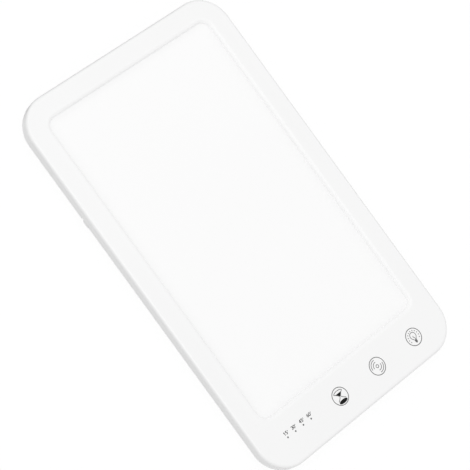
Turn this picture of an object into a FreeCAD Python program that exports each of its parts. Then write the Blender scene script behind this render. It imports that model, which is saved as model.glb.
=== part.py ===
# Light therapy lamp: a slim edge-lit panel with a folding stand let into its back.
# The lamp lies on its back. X is its width, Y its length (touch keys at the -Y end) and +Z
# leaves the lit face. The origin is under the middle of the back, on the feet's rest plane.
import FreeCAD, Part
import math
import os
import re

import Sketcher

os.makedirs("parts", exist_ok=True)
doc = FreeCAD.newDocument("TherapyLamp")

# ---------------------------------------------------------------- driving dimensions, mm and degrees
SIZES = {
    # casing
    "caseWidth": 151.6,
    "caseLength": 250.0,
    "caseCorner": 19.5,
    "coverHeight": 4.8,
    "footStand": 0.5,
    "frameWall": 2.2,
    "faceWall": 1.6,
    "coverWall": 1.4,
    "faceEdge": 2.0,
    "backEdge": 4.6,
    "tongueDepth": 0.8,
    # lit window in the bezel
    "windowSideRim": 14.2,
    "windowTopRim": 13.9,
    "windowKeyRim": 31.2,
    "windowCorner": 6.0,
    "windowRecess": 2.4,
    "windowEdge": 2.2,
    "seatWidth": 3.0,
    # optical stack, from the face down
    "diffuserThick": 1.6,
    "diffuserLap": 2.6,
    "diffuserCorner": 3.0,
    "filmThick": 0.2,
    "guideThick": 1.7,
    "guideLap": 3.2,
    "reflectorThick": 0.2,
    "spreaderThick": 0.6,
    "flangeHeight": 4.4,
    "edgeTapeThick": 0.15,
    "ribThick": 1.0,
    "stackGap": 0.1,
    # light strips
    "diodeLong": 4.0,
    "diodeTall": 1.4,
    "diodeDeep": 0.8,
    "diodePitch": 7.0,
    "stripThick": 0.8,
    "stripTall": 2.2,
    "stripEndGap": 2.5,
    # folding stand
    "standThick": 2.5,
    "armWidth": 11.0,
    "armFromSide": 5.0,
    "hingeFromTop": 71.4,
    "standFromKeys": 33.0,
    "barWidth": 14.0,
    "barCorner": 9.0,
    "barInnerCorner": 6.0,
    "knuckleRadius": 2.2,
    "knuckleReach": 4.3,
    "knuckleLong": 4.0,
    "knuckleDome": 1.5,
    "knuckleHeel": 1.8,
    "gussetLong": 4.0,
    "armEndGap": 5.2,
    "armTipRound": 1.0,
    "pinRadius": 0.9,
    "pinLong": 12.2,
    "pinCap": 1.4,
    "washerThick": 0.3,
    "washerRadius": 1.9,
    "channelRoof": 0.9,
    "gripWidth": 72.0,
    "gripStand": 2.4,
    "gripThick": 1.9,
    "gripTongue": 2.5,
    "gripTongueThick": 0.7,
    "gripTongueEnd": 2.0,
    "gripRound": 0.8,
    "scoopWidth": 26.0,
    "scoopLong": 9.0,
    "scoopSlope": 6.3,
    # control board and touch keys
    "boardOver": 8.5,
    "boardJackGap": 4.7,
    "boardRibGap": 1.3,
    "boardFromEnd": 10.2,
    "boardThick": 1.2,
    "keyLine": 15.7,
    "keyMiddle": 17.7,
    "keyPitch": 31.2,
    "padWide": 7.0,
    "timerFirst": -55.5,
    "timerPitch": 6.2,
    "timerLine": 16.2,
    "pipeRadius": 0.5,
    "pipeBarWide": 2.4,
    "pipeBarThick": 0.8,
    "blockWide": 5.0,
    "blockOver": 4.0,
    "indicatorLong": 1.6,
    "indicatorWide": 0.8,
    "indicatorTall": 0.6,
    # components under the board
    "chipLong": 10.0,
    "chipWide": 6.0,
    "chipTall": 1.7,
    "chipFromKey": 29.0,
    "coilRadius": 3.0,
    "coilWaist": 2.2,
    "coilTall": 2.6,
    "coilFlange": 0.7,
    "coilFromKey": 5.0,
    "canRadius": 2.5,
    "canTall": 4.3,
    "canFoot": 0.7,
    "canFromEnd": 14.0,
    # power inlet
    "jackFromKeys": 21.5,
    "jackRise": 5.6,
    "jackLong": 12.0,
    "jackWide": 6.0,
    "jackTall": 5.2,
    "snoutRadius": 2.7,
    "snoutSink": 0.4,
    "socketRadius": 2.0,
    "socketDeep": 10.0,
    "contactRadius": 0.65,
    "contactSink": 1.0,
    "tabLap": 0.3,
    "tabWide": 1.6,
    "tabThick": 0.3,
    "linkThick": 0.6,
    # fastenings and feet
    "caseScrewX": 48.0,
    "caseScrewFromEnd": 7.2,
    "caseScrewRadius": 1.25,
    "caseScrewLong": 6.9,
    "caseHeadRadius": 2.1,
    "caseHeadTall": 1.3,
    "caseRecessLong": 2.6,
    "caseRecessDeep": 0.8,
    "counterboreDeep": 1.6,
    "pillarRadius": 2.6,
    "bossWall": 1.0,
    "bossRise": 3.9,
    "boardScrewRadius": 0.9,
    "boardScrewLong": 3.3,
    "boardHeadRadius": 1.7,
    "boardHeadTall": 1.0,
    "boardRecessLong": 2.1,
    "boardRecessDeep": 0.6,
    "recessWide": 0.6,
    "boardScrewInset": 2.2,
    "boardPillarHalf": 2.0,
    "footRadius": 4.5,
    "footSink": 0.7,
    "footX": 60.0,
    "footFromEnd": 19.0,
    "cushionWide": 8.0,
    "cushionLong": 120.0,
    "cushionX": 25.0,
    # ribs on the cover's floor
    "floorRibTop": 90.0,
    "floorRibPitch": 20.0,
    "floorRibReach": 66.0,
    # clearances
    "partGap": 0.1,
    "slipGap": 0.3,
    "swingGap": 0.6,
    "screwGap": 0.15,
    "pilotGap": 0.05,
    "pinGap": 0.05,
    "hairGap": 0.01,
    # how far cutters pass what they cut, and joined solids reach into each other
    "runOver": 1.0,
}

# Levels and edges that follow from the driving dimensions, each a formula in their names.
DERIVED = {
    "halfWidth": "caseWidth / 2",
    "halfLength": "caseLength / 2",
    "backLevel": "footStand",
    "partLevel": "footStand + coverHeight",
    "faceLevel": "seatLevel + windowRecess",
    "innerFace": "faceLevel - faceWall",
    "innerBack": "footStand + coverWall",
    "frameInside": "halfWidth - frameWall",
    "windowHalf": "halfWidth - windowSideRim",
    "windowTop": "halfLength - windowTopRim",
    "windowLow": "windowKeyRim - halfLength",
    "spreaderLow": "channelCeiling + stackGap",
    "spreaderTop": "spreaderLow + spreaderThick",
    "reflectorTop": "spreaderTop + reflectorThick",
    "guideTop": "reflectorTop + guideThick",
    "filmTop": "guideTop + filmThick",
    "seatLevel": "filmTop + diffuserThick",
    "guideHalf": "windowHalf + guideLap",
    "ribTop": "windowTop + seatWidth - slipGap",
    "ribLow": "windowLow - seatWidth + slipGap",
    "guideHigh": "ribTop - slipGap",
    "guideLow": "ribLow + slipGap",
    "stripLow": "spreaderTop + partGap",
    "stripTop": "stripLow + stripTall",
    "diodeMiddle": "reflectorTop + guideThick / 2",
    "diodeInside": "guideHalf + 2 * partGap",
    "stripInside": "diodeInside + diodeDeep",
    "flangeInside": "stripInside + stripThick",
    "flangeOutside": "flangeInside + spreaderThick",
    "channelTop": "backLevel + standThick + slipGap",
    "channelCeiling": "channelTop + channelRoof",
    "armOutside": "halfWidth - armFromSide",
    "armInside": "armOutside - armWidth",
    "hingeY": "halfLength - hingeFromTop",
    "hingeZ": "backLevel + knuckleRadius",
    "lugFace": "flangeOutside + 2 * partGap + channelRoof",
    "lugTop": "hingeY + knuckleRadius + slipGap + channelRoof",
    "knuckleInside": "lugFace + washerThick + partGap",
    "knuckleOutside": "armOutside + knuckleReach",
    "boreEnd": "knuckleOutside - pinCap",
    "pinTip": "boreEnd - partGap",
    "knuckleLow": "hingeY - knuckleLong",
    "gussetLow": "knuckleLow - gussetLong",
    "standLow": "standFromKeys - halfLength",
    "barTop": "standLow + barWidth",
    "armEnd": "hingeY - armEndGap",
    "lugLow": "hingeY - armEndGap + swingGap + partGap",
    "gripLow": "standLow - gripStand",
    "scoopLow": "gripLow - slipGap - scoopLong",
    "boardLeft": "timerFirst - boardOver",
    "boardRight": "jackBack - boardJackGap",
    "boardLow": "boardFromEnd - halfLength",
    "boardHigh": "ribLow - ribThick - boardRibGap",
    "boardFace": "innerFace - padThick",
    "padThick": "faceWall",
    "boardBack": "boardFace - boardThick",
    "keyY": "keyLine - halfLength",
    "timerY": "timerLine - halfLength",
    "timerLast": "timerFirst + 3 * timerPitch",
    "jackY": "jackFromKeys - halfLength",
    "jackZ": "backLevel + jackRise",
    "jackFront": "frameInside - partGap",
    "jackBack": "jackFront - jackLong",
    "snoutTip": "halfWidth - snoutSink",
    "caseScrewY": "halfLength - caseScrewFromEnd",
    "counterboreTop": "backLevel + counterboreDeep",
    "bossHalf": "caseHeadRadius + slipGap + bossWall",
    "bossTop": "backLevel + bossRise",
    "footY": "halfLength - footFromEnd",
}

sheet = doc.addObject("Spreadsheet::Sheet", "Sizes")
for row, (name, size) in enumerate(SIZES.items(), start=1):
    sheet.set(f"A{row}", name)
    sheet.set(f"B{row}", str(size))
    sheet.setAlias(f"B{row}", name)
doc.recompute()


def formula(text):
    """The text with derived names written out and driving names pointed at the sheet."""

    def swap(match):
        word = match.group(0)
        if word in DERIVED:
            return "(" + formula(DERIVED[word]) + ")"
        return "Sizes." + word if word in SIZES else word

    return re.sub(r"[A-Za-z]+", swap, str(text))


def number(text):
    """The value of a formula, in millimetres."""
    return float(sheet.evalExpression(formula(text)))


def bind(item, **properties):
    """Ties properties to formulas; two underscores in a name stand for a dot."""
    for name, text in properties.items():
        item.setExpression(name.replace("__", "."), formula(text))


# ---------------------------------------------------------------- sketches
def sketch_on(body, label, level, plane="XY_Plane"):
    """An empty sketch on one of the body's own planes, raised along its normal."""
    sketch = body.newObject("Sketcher::SketchObject", label)
    support = next(item for item in body.Origin.OriginFeatures if item.Role == plane)
    sketch.AttachmentSupport = [(support, "")]
    sketch.MapMode = "FlatFace"
    bind(sketch, AttachmentOffset__Base__z=level)
    return sketch


def tie(sketch, kind, places, text):
    """A measured constraint whose value is a formula."""
    index = sketch.addConstraint(Sketcher.Constraint(kind, *places, number(text)))
    sketch.setExpression(f"Constraints[{index}]", formula(text))


def outline(sketch, corners):
    """A closed outline of level and upright lines; each corner is x, y and its round's radius."""
    count = len(corners)
    spots = [FreeCAD.Vector(number(x), number(y), 0) for x, y, radius in corners]
    rounds = [number(radius) for x, y, radius in corners]
    ways = [(spots[(i + 1) % count] - spots[i]).normalize() for i in range(count)]
    starts = [spots[i] + ways[i] * rounds[i] for i in range(count)]
    ends = [spots[(i + 1) % count] - ways[i] * rounds[(i + 1) % count] for i in range(count)]
    lines = [sketch.addGeometry(Part.LineSegment(starts[i], ends[i])) for i in range(count)]
    for i, (x, y, radius) in enumerate(corners):
        before = lines[i - 1]
        if rounds[i] == 0:
            sketch.addConstraint(Sketcher.Constraint("Coincident", before, 2, lines[i], 1))
            continue
        turn = ways[i - 1].cross(ways[i]).z
        centre = ends[i - 1] + ways[i] * rounds[i]
        first, last = (ends[i - 1], starts[i]) if turn > 0 else (starts[i], ends[i - 1])
        angles = [math.atan2(spot.y - centre.y, spot.x - centre.x) for spot in (first, last)]
        if angles[1] < angles[0]:
            angles[1] += 2 * math.pi
        circle = Part.Circle(centre, FreeCAD.Vector(0, 0, 1), rounds[i])
        arc = sketch.addGeometry(Part.ArcOfCircle(circle, *angles))
        enter, leave = (1, 2) if turn > 0 else (2, 1)
        sketch.addConstraint(Sketcher.Constraint("Tangent", before, 2, arc, enter))
        sketch.addConstraint(Sketcher.Constraint("Tangent", arc, leave, lines[i], 1))
        tie(sketch, "Radius", (arc,), radius)
    for i, (x, y, radius) in enumerate(corners):
        upright = x == corners[(i + 1) % count][0]
        sketch.addConstraint(Sketcher.Constraint("Vertical" if upright else "Horizontal", lines[i]))
        tie(sketch, "DistanceX" if upright else "DistanceY", (-1, 1, lines[i], 1), x if upright else y)
    return sketch


def polygon(sketch, corners):
    """A closed outline of straight lines between corners given as x and y."""
    spots = [FreeCAD.Vector(number(x), number(y), 0) for x, y in corners]
    count = len(corners)
    for i in range(count):
        sketch.addGeometry(Part.LineSegment(spots[i], spots[(i + 1) % count]))
    for i, (x, y) in enumerate(corners):
        sketch.addConstraint(Sketcher.Constraint("Coincident", (i - 1) % count, 2, i, 1))
        tie(sketch, "DistanceX", (-1, 1, i, 1), x)
        tie(sketch, "DistanceY", (-1, 1, i, 1), y)
    return sketch


def rectangle(sketch, left, right, low, high, radius="0"):
    """A rectangle between four edges, its corners rounded by one radius."""
    corners = [(left, low), (right, low), (right, high), (left, high)]
    return outline(sketch, [(x, y, radius) for x, y in corners])


def square(sketch, x, y, half):
    """A square about a centre, given half its side."""
    return rectangle(sketch, f"{x} - {half}", f"{x} + {half}", f"{y} - {half}", f"{y} + {half}")


def circle(sketch, x, y, radius):
    """A circle tied to a centre that may lie on either side of the axes."""
    centre = FreeCAD.Vector(number(x), number(y), 0)
    ring = sketch.addGeometry(Part.Circle(centre, FreeCAD.Vector(0, 0, 1), number(radius)))
    tie(sketch, "Radius", (ring,), radius)
    tie(sketch, "DistanceX", (-1, 1, ring, 3), x)
    tie(sketch, "DistanceY", (-1, 1, ring, 3), y)
    return sketch


# ---------------------------------------------------------------- solid features
def new_body(label):
    body = doc.addObject("PartDesign::Body", label)
    body.Label = label
    return body


def pad(body, sketch, length, reverse=False):
    feature = body.newObject("PartDesign::Pad", sketch.Label + "Pad")
    feature.Profile = sketch
    feature.Reversed = reverse
    bind(feature, Length=length)
    doc.recompute()
    return feature


def cut(body, sketch, length, reverse=True, both=False):
    """A pocket along the sketch's normal, checked to have removed material."""
    before = body.Shape.Volume
    feature = body.newObject("PartDesign::Pocket", sketch.Label + "Cut")
    feature.Profile = sketch
    feature.Reversed = reverse
    feature.Midplane = both
    bind(feature, Length=length)
    doc.recompute()
    if not body.Shape.Volume < before:
        raise RuntimeError(sketch.Label + " removed nothing")
    return feature


def dress_edges(body, label, kind, size, wanted):
    """A fillet or a chamfer on every edge of the body that the test picks."""
    base = body.Tip
    names = [f"Edge{i}" for i, edge in enumerate(base.Shape.Edges, start=1) if wanted(edge.BoundBox)]
    feature = body.newObject("PartDesign::" + kind, label)
    feature.Base = (base, names)
    bind(feature, **{"Radius" if kind == "Fillet" else "Size": size})
    doc.recompute()
    return feature


def at_height(level):
    """Picks the edges that lie in one level plane."""
    height = number(level)
    return lambda box: abs(box.ZMin - height) < 1e-4 and abs(box.ZMax - height) < 1e-4


def plate(label, left, right, low, high, bottom, thick, corner="0"):
    """A flat sheet with square or rounded corners."""
    body = new_body(label)
    pad(body, rectangle(sketch_on(body, label + "Plan", bottom), left, right, low, high, corner), thick)
    return body


def block(label, left, right, low, high, bottom, top):
    """A plain box between six faces."""
    box = doc.addObject("Part::Box", label)
    bind(
        box,
        Length=f"({right}) - ({left})",
        Width=f"({high}) - ({low})",
        Height=f"({top}) - ({bottom})",
        Placement__Base__x=left,
        Placement__Base__y=low,
        Placement__Base__z=bottom,
    )
    return box


def rod(label, radius, bottom, top, x="0", y="0"):
    """An upright cylinder."""
    item = doc.addObject("Part::Cylinder", label)
    bind(item, Radius=radius, Height=f"({top}) - ({bottom})")
    bind(item, Placement__Base__x=x, Placement__Base__y=y, Placement__Base__z=bottom)
    return item


def rod_along_x(label, radius, left, right, y, z):
    """A cylinder that lies across the lamp."""
    item = doc.addObject("Part::Cylinder", label)
    item.Placement.Rotation = FreeCAD.Rotation(FreeCAD.Vector(0, 1, 0), 90)
    bind(item, Radius=radius, Height=f"({right}) - ({left})")
    bind(item, Placement__Base__x=left, Placement__Base__y=y, Placement__Base__z=z)
    return item


def join(label, *items):
    """The union of several shapes."""
    whole = doc.addObject("Part::MultiFuse", label)
    whole.Shapes = list(items)
    doc.recompute()
    return whole


def carve(label, base, *tools):
    """A shape with others taken out of it."""
    tool = tools[0] if len(tools) == 1 else join(label + "Tools", *tools)
    whole = doc.addObject("Part::Cut", label)
    whole.Base = base
    whole.Tool = tool
    doc.recompute()
    return whole


def set_of(label, pattern, spots):
    """Separate copies of one shape, each moved by an x, y, z offset and kept in one node."""
    doc.recompute()
    copies = []
    for spot in spots:
        copy = pattern.Shape.copy()
        copy.translate(FreeCAD.Vector(*[number(text) for text in spot]))
        copies.append(copy)
    group = doc.addObject("Part::Feature", label)
    group.Shape = Part.Compound(copies)
    return group


def mirrored(corners):
    """The same outline on the other side of the YZ plane."""
    return [("-(" + x + ")", *rest) for x, *rest in corners]


SIDES = (("Left", mirrored), ("Right", list))

CASE_SCREWS = [(x, y) for x in ("-caseScrewX", "caseScrewX") for y in ("-caseScrewY", "caseScrewY")]
FEET = [(x, y) for x in ("-footX", "footX") for y in ("-footY", "footY")]
BOARD_SCREWS = [(x, "boardHigh - boardScrewInset")
                for x in ("boardLeft + boardScrewInset", "boardRight - boardScrewInset")]
KEYS = [(f"keyMiddle + {step} * keyPitch", "keyY") for step in (-1, 0, 1)]
TIMERS = [(f"timerFirst + {step} * timerPitch", "timerY") for step in range(4)]


def case_outline(inset):
    """The casing's plan outline, drawn in by a distance."""
    side = f"halfWidth - ({inset})"
    end = f"halfLength - ({inset})"
    return (f"-({side})", side, f"-({end})", end, f"caseCorner - ({inset})")


def window_outline(grow, corner):
    """The window's outline, widened all round."""
    side = f"windowHalf + ({grow})"
    return (f"-({side})", side, f"windowLow - ({grow})", f"windowTop + ({grow})", corner)


# ---------------------------------------------------------------- front frame
def build_front_frame():
    """Bezel, side wall, window seat, pillars and locating ribs, moulded in one piece."""
    body = new_body("front_frame")
    shell = rectangle(sketch_on(body, "FrameOutside", "partLevel"), *case_outline("0"))
    pad(body, shell, "faceLevel - partLevel")
    hollow = rectangle(sketch_on(body, "FrameHollow", "partLevel"), *case_outline("frameWall"))
    cut(body, hollow, "seatLevel - partLevel")
    ceiling = rectangle(sketch_on(body, "FrameCeiling", "seatLevel"), *case_outline("frameWall"))
    rectangle(ceiling, *window_outline("seatWidth", "windowCorner"))
    cut(body, ceiling, "innerFace - seatLevel")
    opening = rectangle(sketch_on(body, "FrameWindow", "seatLevel"), *window_outline("0", "windowCorner"))
    cut(body, opening, "windowRecess")
    tongue = rectangle(sketch_on(body, "FrameTongue", "partLevel"), *case_outline("coverWall + screwGap"))
    rectangle(tongue, *case_outline("frameWall"))
    pad(body, tongue, "tongueDepth", reverse=True)
    pillars = sketch_on(body, "CasePillars", "bossTop")
    pilots = sketch_on(body, "CasePilots", "bossTop")
    for x, y in CASE_SCREWS:
        circle(pillars, x, y, "pillarRadius")
        circle(pilots, x, y, "caseScrewRadius + pilotGap")
    pad(body, pillars, "innerFace - bossTop")
    cut(body, pilots, "counterboreTop + caseScrewLong + slipGap - bossTop")
    stands = sketch_on(body, "BoardPillars", "boardFace")
    holes = sketch_on(body, "BoardPilots", "boardFace")
    for x, y in BOARD_SCREWS:
        square(stands, x, y, "boardPillarHalf")
        circle(holes, x, y, "boardScrewRadius + pilotGap")
    pad(body, stands, "innerFace - boardFace")
    cut(body, holes, "boardScrewLong - boardThick + partGap")
    ribs = sketch_on(body, "EndRibs", "spreaderTop")
    rectangle(ribs, "-windowHalf", "windowHalf", "ribTop", "ribTop + ribThick")
    rectangle(ribs, "-windowHalf", "windowHalf", "ribLow - ribThick", "ribLow")
    pad(body, ribs, "innerFace - spreaderTop")
    lights = sketch_on(body, "TimerHoles", "innerFace")
    for x, y in TIMERS:
        circle(lights, x, y, "pipeRadius + pilotGap")
    cut(body, lights, "faceWall")
    inlet = sketch_on(body, "FrameInlet", "frameInside - slipGap", "YZ_Plane")
    circle(inlet, "jackY", "jackZ", "snoutRadius + screwGap")
    cut(body, inlet, "frameWall + 2 * slipGap")
    for side, flip in SIDES:
        notch = flip([("frameInside - slipGap", "knuckleLow - 2 * swingGap", "0"),
                      ("halfWidth - coverWall", "knuckleLow - 2 * swingGap", "0"),
                      ("halfWidth - coverWall", "hingeY + knuckleRadius + 2 * swingGap", "0"),
                      ("frameInside - slipGap", "hingeY + knuckleRadius + 2 * swingGap", "0")])
        gap = outline(sketch_on(body, "TongueGap" + side, "partLevel"), notch)
        cut(body, gap, "tongueDepth", reverse=False)
    side = number("halfWidth - partGap")
    end = number("halfLength - partGap")
    window = number("windowLow - partGap")
    on_face = at_height("faceLevel")

    def outermost(box):
        return max(abs(box.XMin), abs(box.XMax)) > side or max(abs(box.YMin), abs(box.YMax)) > end

    def round_window(box):
        return on_face(box) and box.YMin > window and not outermost(box)

    dress_edges(body, "FaceRound", "Fillet", "faceEdge", lambda box: on_face(box) and outermost(box))
    dress_edges(body, "WindowRound", "Fillet", "windowEdge", round_window)
    return body


# ---------------------------------------------------------------- back cover
def channel_outline(gap, end):
    """The U-shaped bed of the stand, widened by a gap, with its arms ended at a height."""
    outer = f"armOutside + {gap}"
    inner = f"armInside - {gap}"
    low = f"standLow - {gap}"
    high = f"barTop + {gap}"
    big = f"barCorner + {gap}"
    small = f"barInnerCorner - {gap}"
    return [
        (f"-({outer})", low, big), (outer, low, big), (outer, end, "0"), (inner, end, "0"),
        (inner, high, small), (f"-({inner})", high, small), (f"-({inner})", end, "0"),
        (f"-({outer})", end, "0"),
    ]


def pocket_outline(gap, reach):
    """The L-shaped bed of one hinge knuckle and its gusset, on the +X side."""
    inner = f"lugFace - ({gap})"
    step = f"armOutside + slipGap + ({gap})"
    low = f"gussetLow - swingGap - ({gap})"
    shelf = f"knuckleLow - slipGap - ({gap})"
    high = f"hingeY + knuckleRadius + slipGap + ({gap})"
    return [(inner, low, "0"), (step, low, "0"), (step, shelf, "0"), (reach, shelf, "0"), (reach, high, "0"),
            (inner, high, "0")]


def grip_outline(gap):
    """The bed of the stand's grip, widened by a gap."""
    half = f"gripWidth / 2 + {gap}"
    return (f"-({half})", half, f"gripLow - ({gap})", "standLow")


def build_back_cover():
    """Dished cover with the stand's bed, hinge lugs, finger scoop, ribs, bosses and foot recesses."""
    body = new_body("back_cover")
    dish = rectangle(sketch_on(body, "CoverOutside", "backLevel"), *case_outline("0"))
    pad(body, dish, "coverHeight")
    hollow = rectangle(sketch_on(body, "CoverHollow", "innerBack"), *case_outline("coverWall"))
    cut(body, hollow, "coverHeight - coverWall")
    dress_edges(body, "InnerBevel", "Chamfer", "backEdge - coverWall - tongueDepth", at_height("innerBack"))
    dress_edges(body, "BackRound", "Fillet", "backEdge", at_height("backLevel"))

    root = "backLevel + coverWall / 2"
    bed = outline(sketch_on(body, "BedWalls", root), channel_outline("slipGap + channelRoof", "lugTop"))
    pad(body, bed, f"channelCeiling - ({root})")
    grip = rectangle(sketch_on(body, "GripWalls", root), *grip_outline("slipGap + channelRoof"))
    pad(body, grip, f"channelCeiling - ({root})")
    scoop = rectangle(sketch_on(body, "ScoopWalls", root), "-scoopWidth / 2 - channelRoof",
                      "scoopWidth / 2 + channelRoof", "scoopLow - channelRoof", "standLow")
    pad(body, scoop, f"channelCeiling - ({root})")
    for side, flip in SIDES:
        walls = flip(pocket_outline("channelRoof", "frameInside - screwGap"))
        pad(body, outline(sketch_on(body, "HingeWalls" + side, root), walls),
            f"hingeZ + knuckleRadius + slipGap + channelRoof - ({root})")
    bosses = sketch_on(body, "ScrewBosses", root)
    for x, y in CASE_SCREWS:
        square(bosses, x, y, "bossHalf")
    pad(body, bosses, f"bossTop - ({root})")
    ribs = sketch_on(body, "FloorRibs", root)
    for step in range(2):
        middle = f"floorRibTop - {step} * floorRibPitch"
        rectangle(ribs, "-floorRibReach", "floorRibReach", f"{middle} - ribThick / 2",
                  f"{middle} + ribThick / 2")
    pad(body, ribs, f"spreaderLow - slipGap - ({root})")

    cut(body, outline(sketch_on(body, "Bed", "backLevel"), channel_outline("slipGap", "lugLow")),
        "channelTop - backLevel")
    cut(body, rectangle(sketch_on(body, "GripBed", "backLevel"), *grip_outline("slipGap")),
        "channelTop - backLevel")
    profile = [("scoopLow", "backLevel"), ("scoopLow + scoopSlope", "channelTop"), ("gripLow", "channelTop"),
               ("gripLow", "backLevel")]
    cut(body, polygon(sketch_on(body, "Scoop", "0", "YZ_Plane"), profile), "scoopWidth", both=True)
    for side, flip in SIDES:
        pocket = outline(sketch_on(body, "HingeBed" + side, "backLevel"),
                         flip(pocket_outline("0", "frameInside - slipGap")))
        cut(body, pocket, "2 * knuckleRadius + slipGap")
        notch = flip([("frameInside - 2 * slipGap", "knuckleLow - slipGap", "0"),
                      ("halfWidth + runOver", "knuckleLow - slipGap", "0"),
                      ("halfWidth + runOver", "hingeY + knuckleRadius + slipGap", "0"),
                      ("frameInside - 2 * slipGap", "hingeY + knuckleRadius + slipGap", "0")])
        cut(body, outline(sketch_on(body, "EdgeNotch" + side, "backLevel"), notch), "coverHeight")
        lug = "-lugFace" if side == "Left" else "lugFace"
        bore = circle(sketch_on(body, "PinHole" + side, lug, "YZ_Plane"), "hingeY", "hingeZ",
                      "pinRadius + pinGap / 2")
        cut(body, bore, "pinLong - (pinTip - lugFace) + slipGap", reverse=side == "Left")

    recesses = sketch_on(body, "Counterbores", "backLevel")
    holes = sketch_on(body, "ScrewHoles", "backLevel")
    for x, y in CASE_SCREWS:
        circle(recesses, x, y, "caseHeadRadius + slipGap")
        circle(holes, x, y, "caseScrewRadius + screwGap")
    cut(body, recesses, "counterboreDeep")
    cut(body, holes, "bossRise")
    beds = sketch_on(body, "FootRecesses", "backLevel")
    for x, y in FEET:
        circle(beds, x, y, "footRadius + partGap")
    cut(body, beds, "footSink")
    inlet = circle(sketch_on(body, "CoverInlet", "jackFront", "YZ_Plane"), "jackY", "jackZ",
                   "snoutRadius + screwGap")
    cut(body, inlet, "halfWidth - jackFront + runOver")
    return body


# ---------------------------------------------------------------- optical stack
def build_optics():
    """Diffuser, film, light guide, reflector, edge tapes, heat spreader and its foam cushions."""
    lit = window_outline("diffuserLap", "diffuserCorner")
    guide = ("-guideHalf", "guideHalf")
    plates = [
        plate("diffuser_panel", *lit[:4], "filmTop", "diffuserThick", lit[4]),
        plate("diffusion_film", *lit[:4], "guideTop", "filmThick", lit[4]),
        plate("light_guide_plate", *guide, "guideLow", "guideHigh", "reflectorTop", "guideThick"),
        plate("reflector_sheet", *guide, "guideLow", "guideHigh", "spreaderTop", "reflectorThick"),
    ]
    edge = ("reflectorTop", "guideTop")
    ends = [block("EdgeTapeTop", *guide, "guideHigh", "guideHigh + edgeTapeThick", *edge),
            block("EdgeTapeLow", *guide, "guideLow - edgeTapeThick", "guideLow", *edge)]
    doc.recompute()
    tapes = doc.addObject("Part::Compound", "edge_tapes")
    tapes.Links = ends
    tray = new_body("heat_spreader")
    section = sketch_on(tray, "TraySection", "-guideHigh", "XZ_Plane")
    lip = "spreaderLow + flangeHeight"
    outline(section, [
        ("-flangeOutside", "spreaderLow", "0"), ("flangeOutside", "spreaderLow", "0"),
        ("flangeOutside", lip, "0"), ("flangeInside", lip, "0"),
        ("flangeInside", "spreaderTop", "0"), ("-flangeInside", "spreaderTop", "0"),
        ("-flangeInside", lip, "0"), ("-flangeOutside", lip, "0"),
    ])
    pad(tray, section, "guideHigh - guideLow")
    strip = block("CushionStrip", "-cushionWide / 2", "cushionWide / 2", "-cushionLong / 2",
                  "cushionLong / 2", "innerBack", "spreaderLow")
    cushions = set_of("foam_cushions", strip, [("-cushionX", "0", "0"), ("cushionX", "0", "0")])
    return plates + [tapes, tray, cushions]


def build_light_strips():
    """Two circuit strips bonded inside the spreader's flanges, and the diodes on each."""
    start = "guideLow + stripEndGap"
    end = "guideHigh - stripEndGap"
    count = 1 + int(number(f"{end} - ({start}) - diodeLong") / number("diodePitch"))
    first = f"({start} + {end}) / 2 - {count - 1} * diodePitch / 2"
    spots = [("0", f"{first} + {step} * diodePitch", "0") for step in range(count)]
    strips = []
    for side, sign in (("left", "-"), ("right", "")):
        board = sorted((sign + "stripInside", sign + "flangeInside"), key=number)
        body = sorted((sign + "diodeInside", sign + "stripInside"), key=number)
        strips.append(block("light_strip_" + side, *board, start, end, "stripLow", "stripTop"))
        diode = block("Diode" + side, *body, "-diodeLong / 2", "diodeLong / 2", "diodeMiddle - diodeTall / 2",
                      "diodeMiddle + diodeTall / 2")
        strips.append(set_of("strip_diodes_" + side, diode, spots))
    return strips


# ---------------------------------------------------------------- control board
def build_board():
    """The control board, what it carries, the touch pads and the timer lights."""
    board = new_body("control_board")
    plan = rectangle(sketch_on(board, "BoardPlan", "boardBack"), "boardLeft", "boardRight", "boardLow",
                     "boardHigh")
    for x, y in BOARD_SCREWS:
        circle(plan, x, y, "boardScrewRadius + screwGap")
    pad(board, plan, "boardThick")
    foam = block("PadBlock", "-padWide / 2", "padWide / 2", "-padWide / 2", "padWide / 2", "boardFace",
                 "innerFace")
    pads = set_of("touch_pads", foam, [(x, y, "0") for x, y in KEYS])
    light = block("Indicator", "-indicatorLong / 2", "indicatorLong / 2", "-indicatorWide / 2",
                  "indicatorWide / 2", "boardFace", "boardFace + indicatorTall")
    lights = set_of("timer_lights", light, [(x, y, "0") for x, y in TIMERS])
    left = "timerFirst - blockOver / 2"
    right = "timerLast + blockOver / 2"
    bar = block("PipeBar", left, right, "timerY - pipeBarWide / 2", "timerY + pipeBarWide / 2",
                "innerFace - pipeBarThick", "innerFace")
    stems = [rod(f"PipeStem{step}", "pipeRadius", "innerFace - pipeBarThick", "faceLevel", x, y)
             for step, (x, y) in enumerate(TIMERS)]
    pipe = join("timer_light_pipe", bar, *stems)
    shell = block("BlockShell", "timerFirst - blockOver", "timerLast + blockOver", "timerY - blockWide / 2",
                  "timerY + blockWide / 2", "boardFace", "innerFace")
    slot = block("BlockSlot", f"{left} - partGap", f"{right} + partGap", "timerY - pipeBarWide / 2 - partGap",
                 "timerY + pipeBarWide / 2 + partGap", "innerFace - pipeBarThick", "innerFace + runOver")
    well = "indicatorLong / 2 + slipGap"
    wells = [block(f"BlockWell{step}", f"{x} - ({well})", f"{x} + {well}", f"{y} - ({well})", f"{y} + {well}",
                   "boardFace - runOver", "innerFace") for step, (x, y) in enumerate(TIMERS)]
    shield = carve("timer_light_block", shell, slot, *wells)
    return [board, pads, lights, pipe, shield] + build_components()


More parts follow.
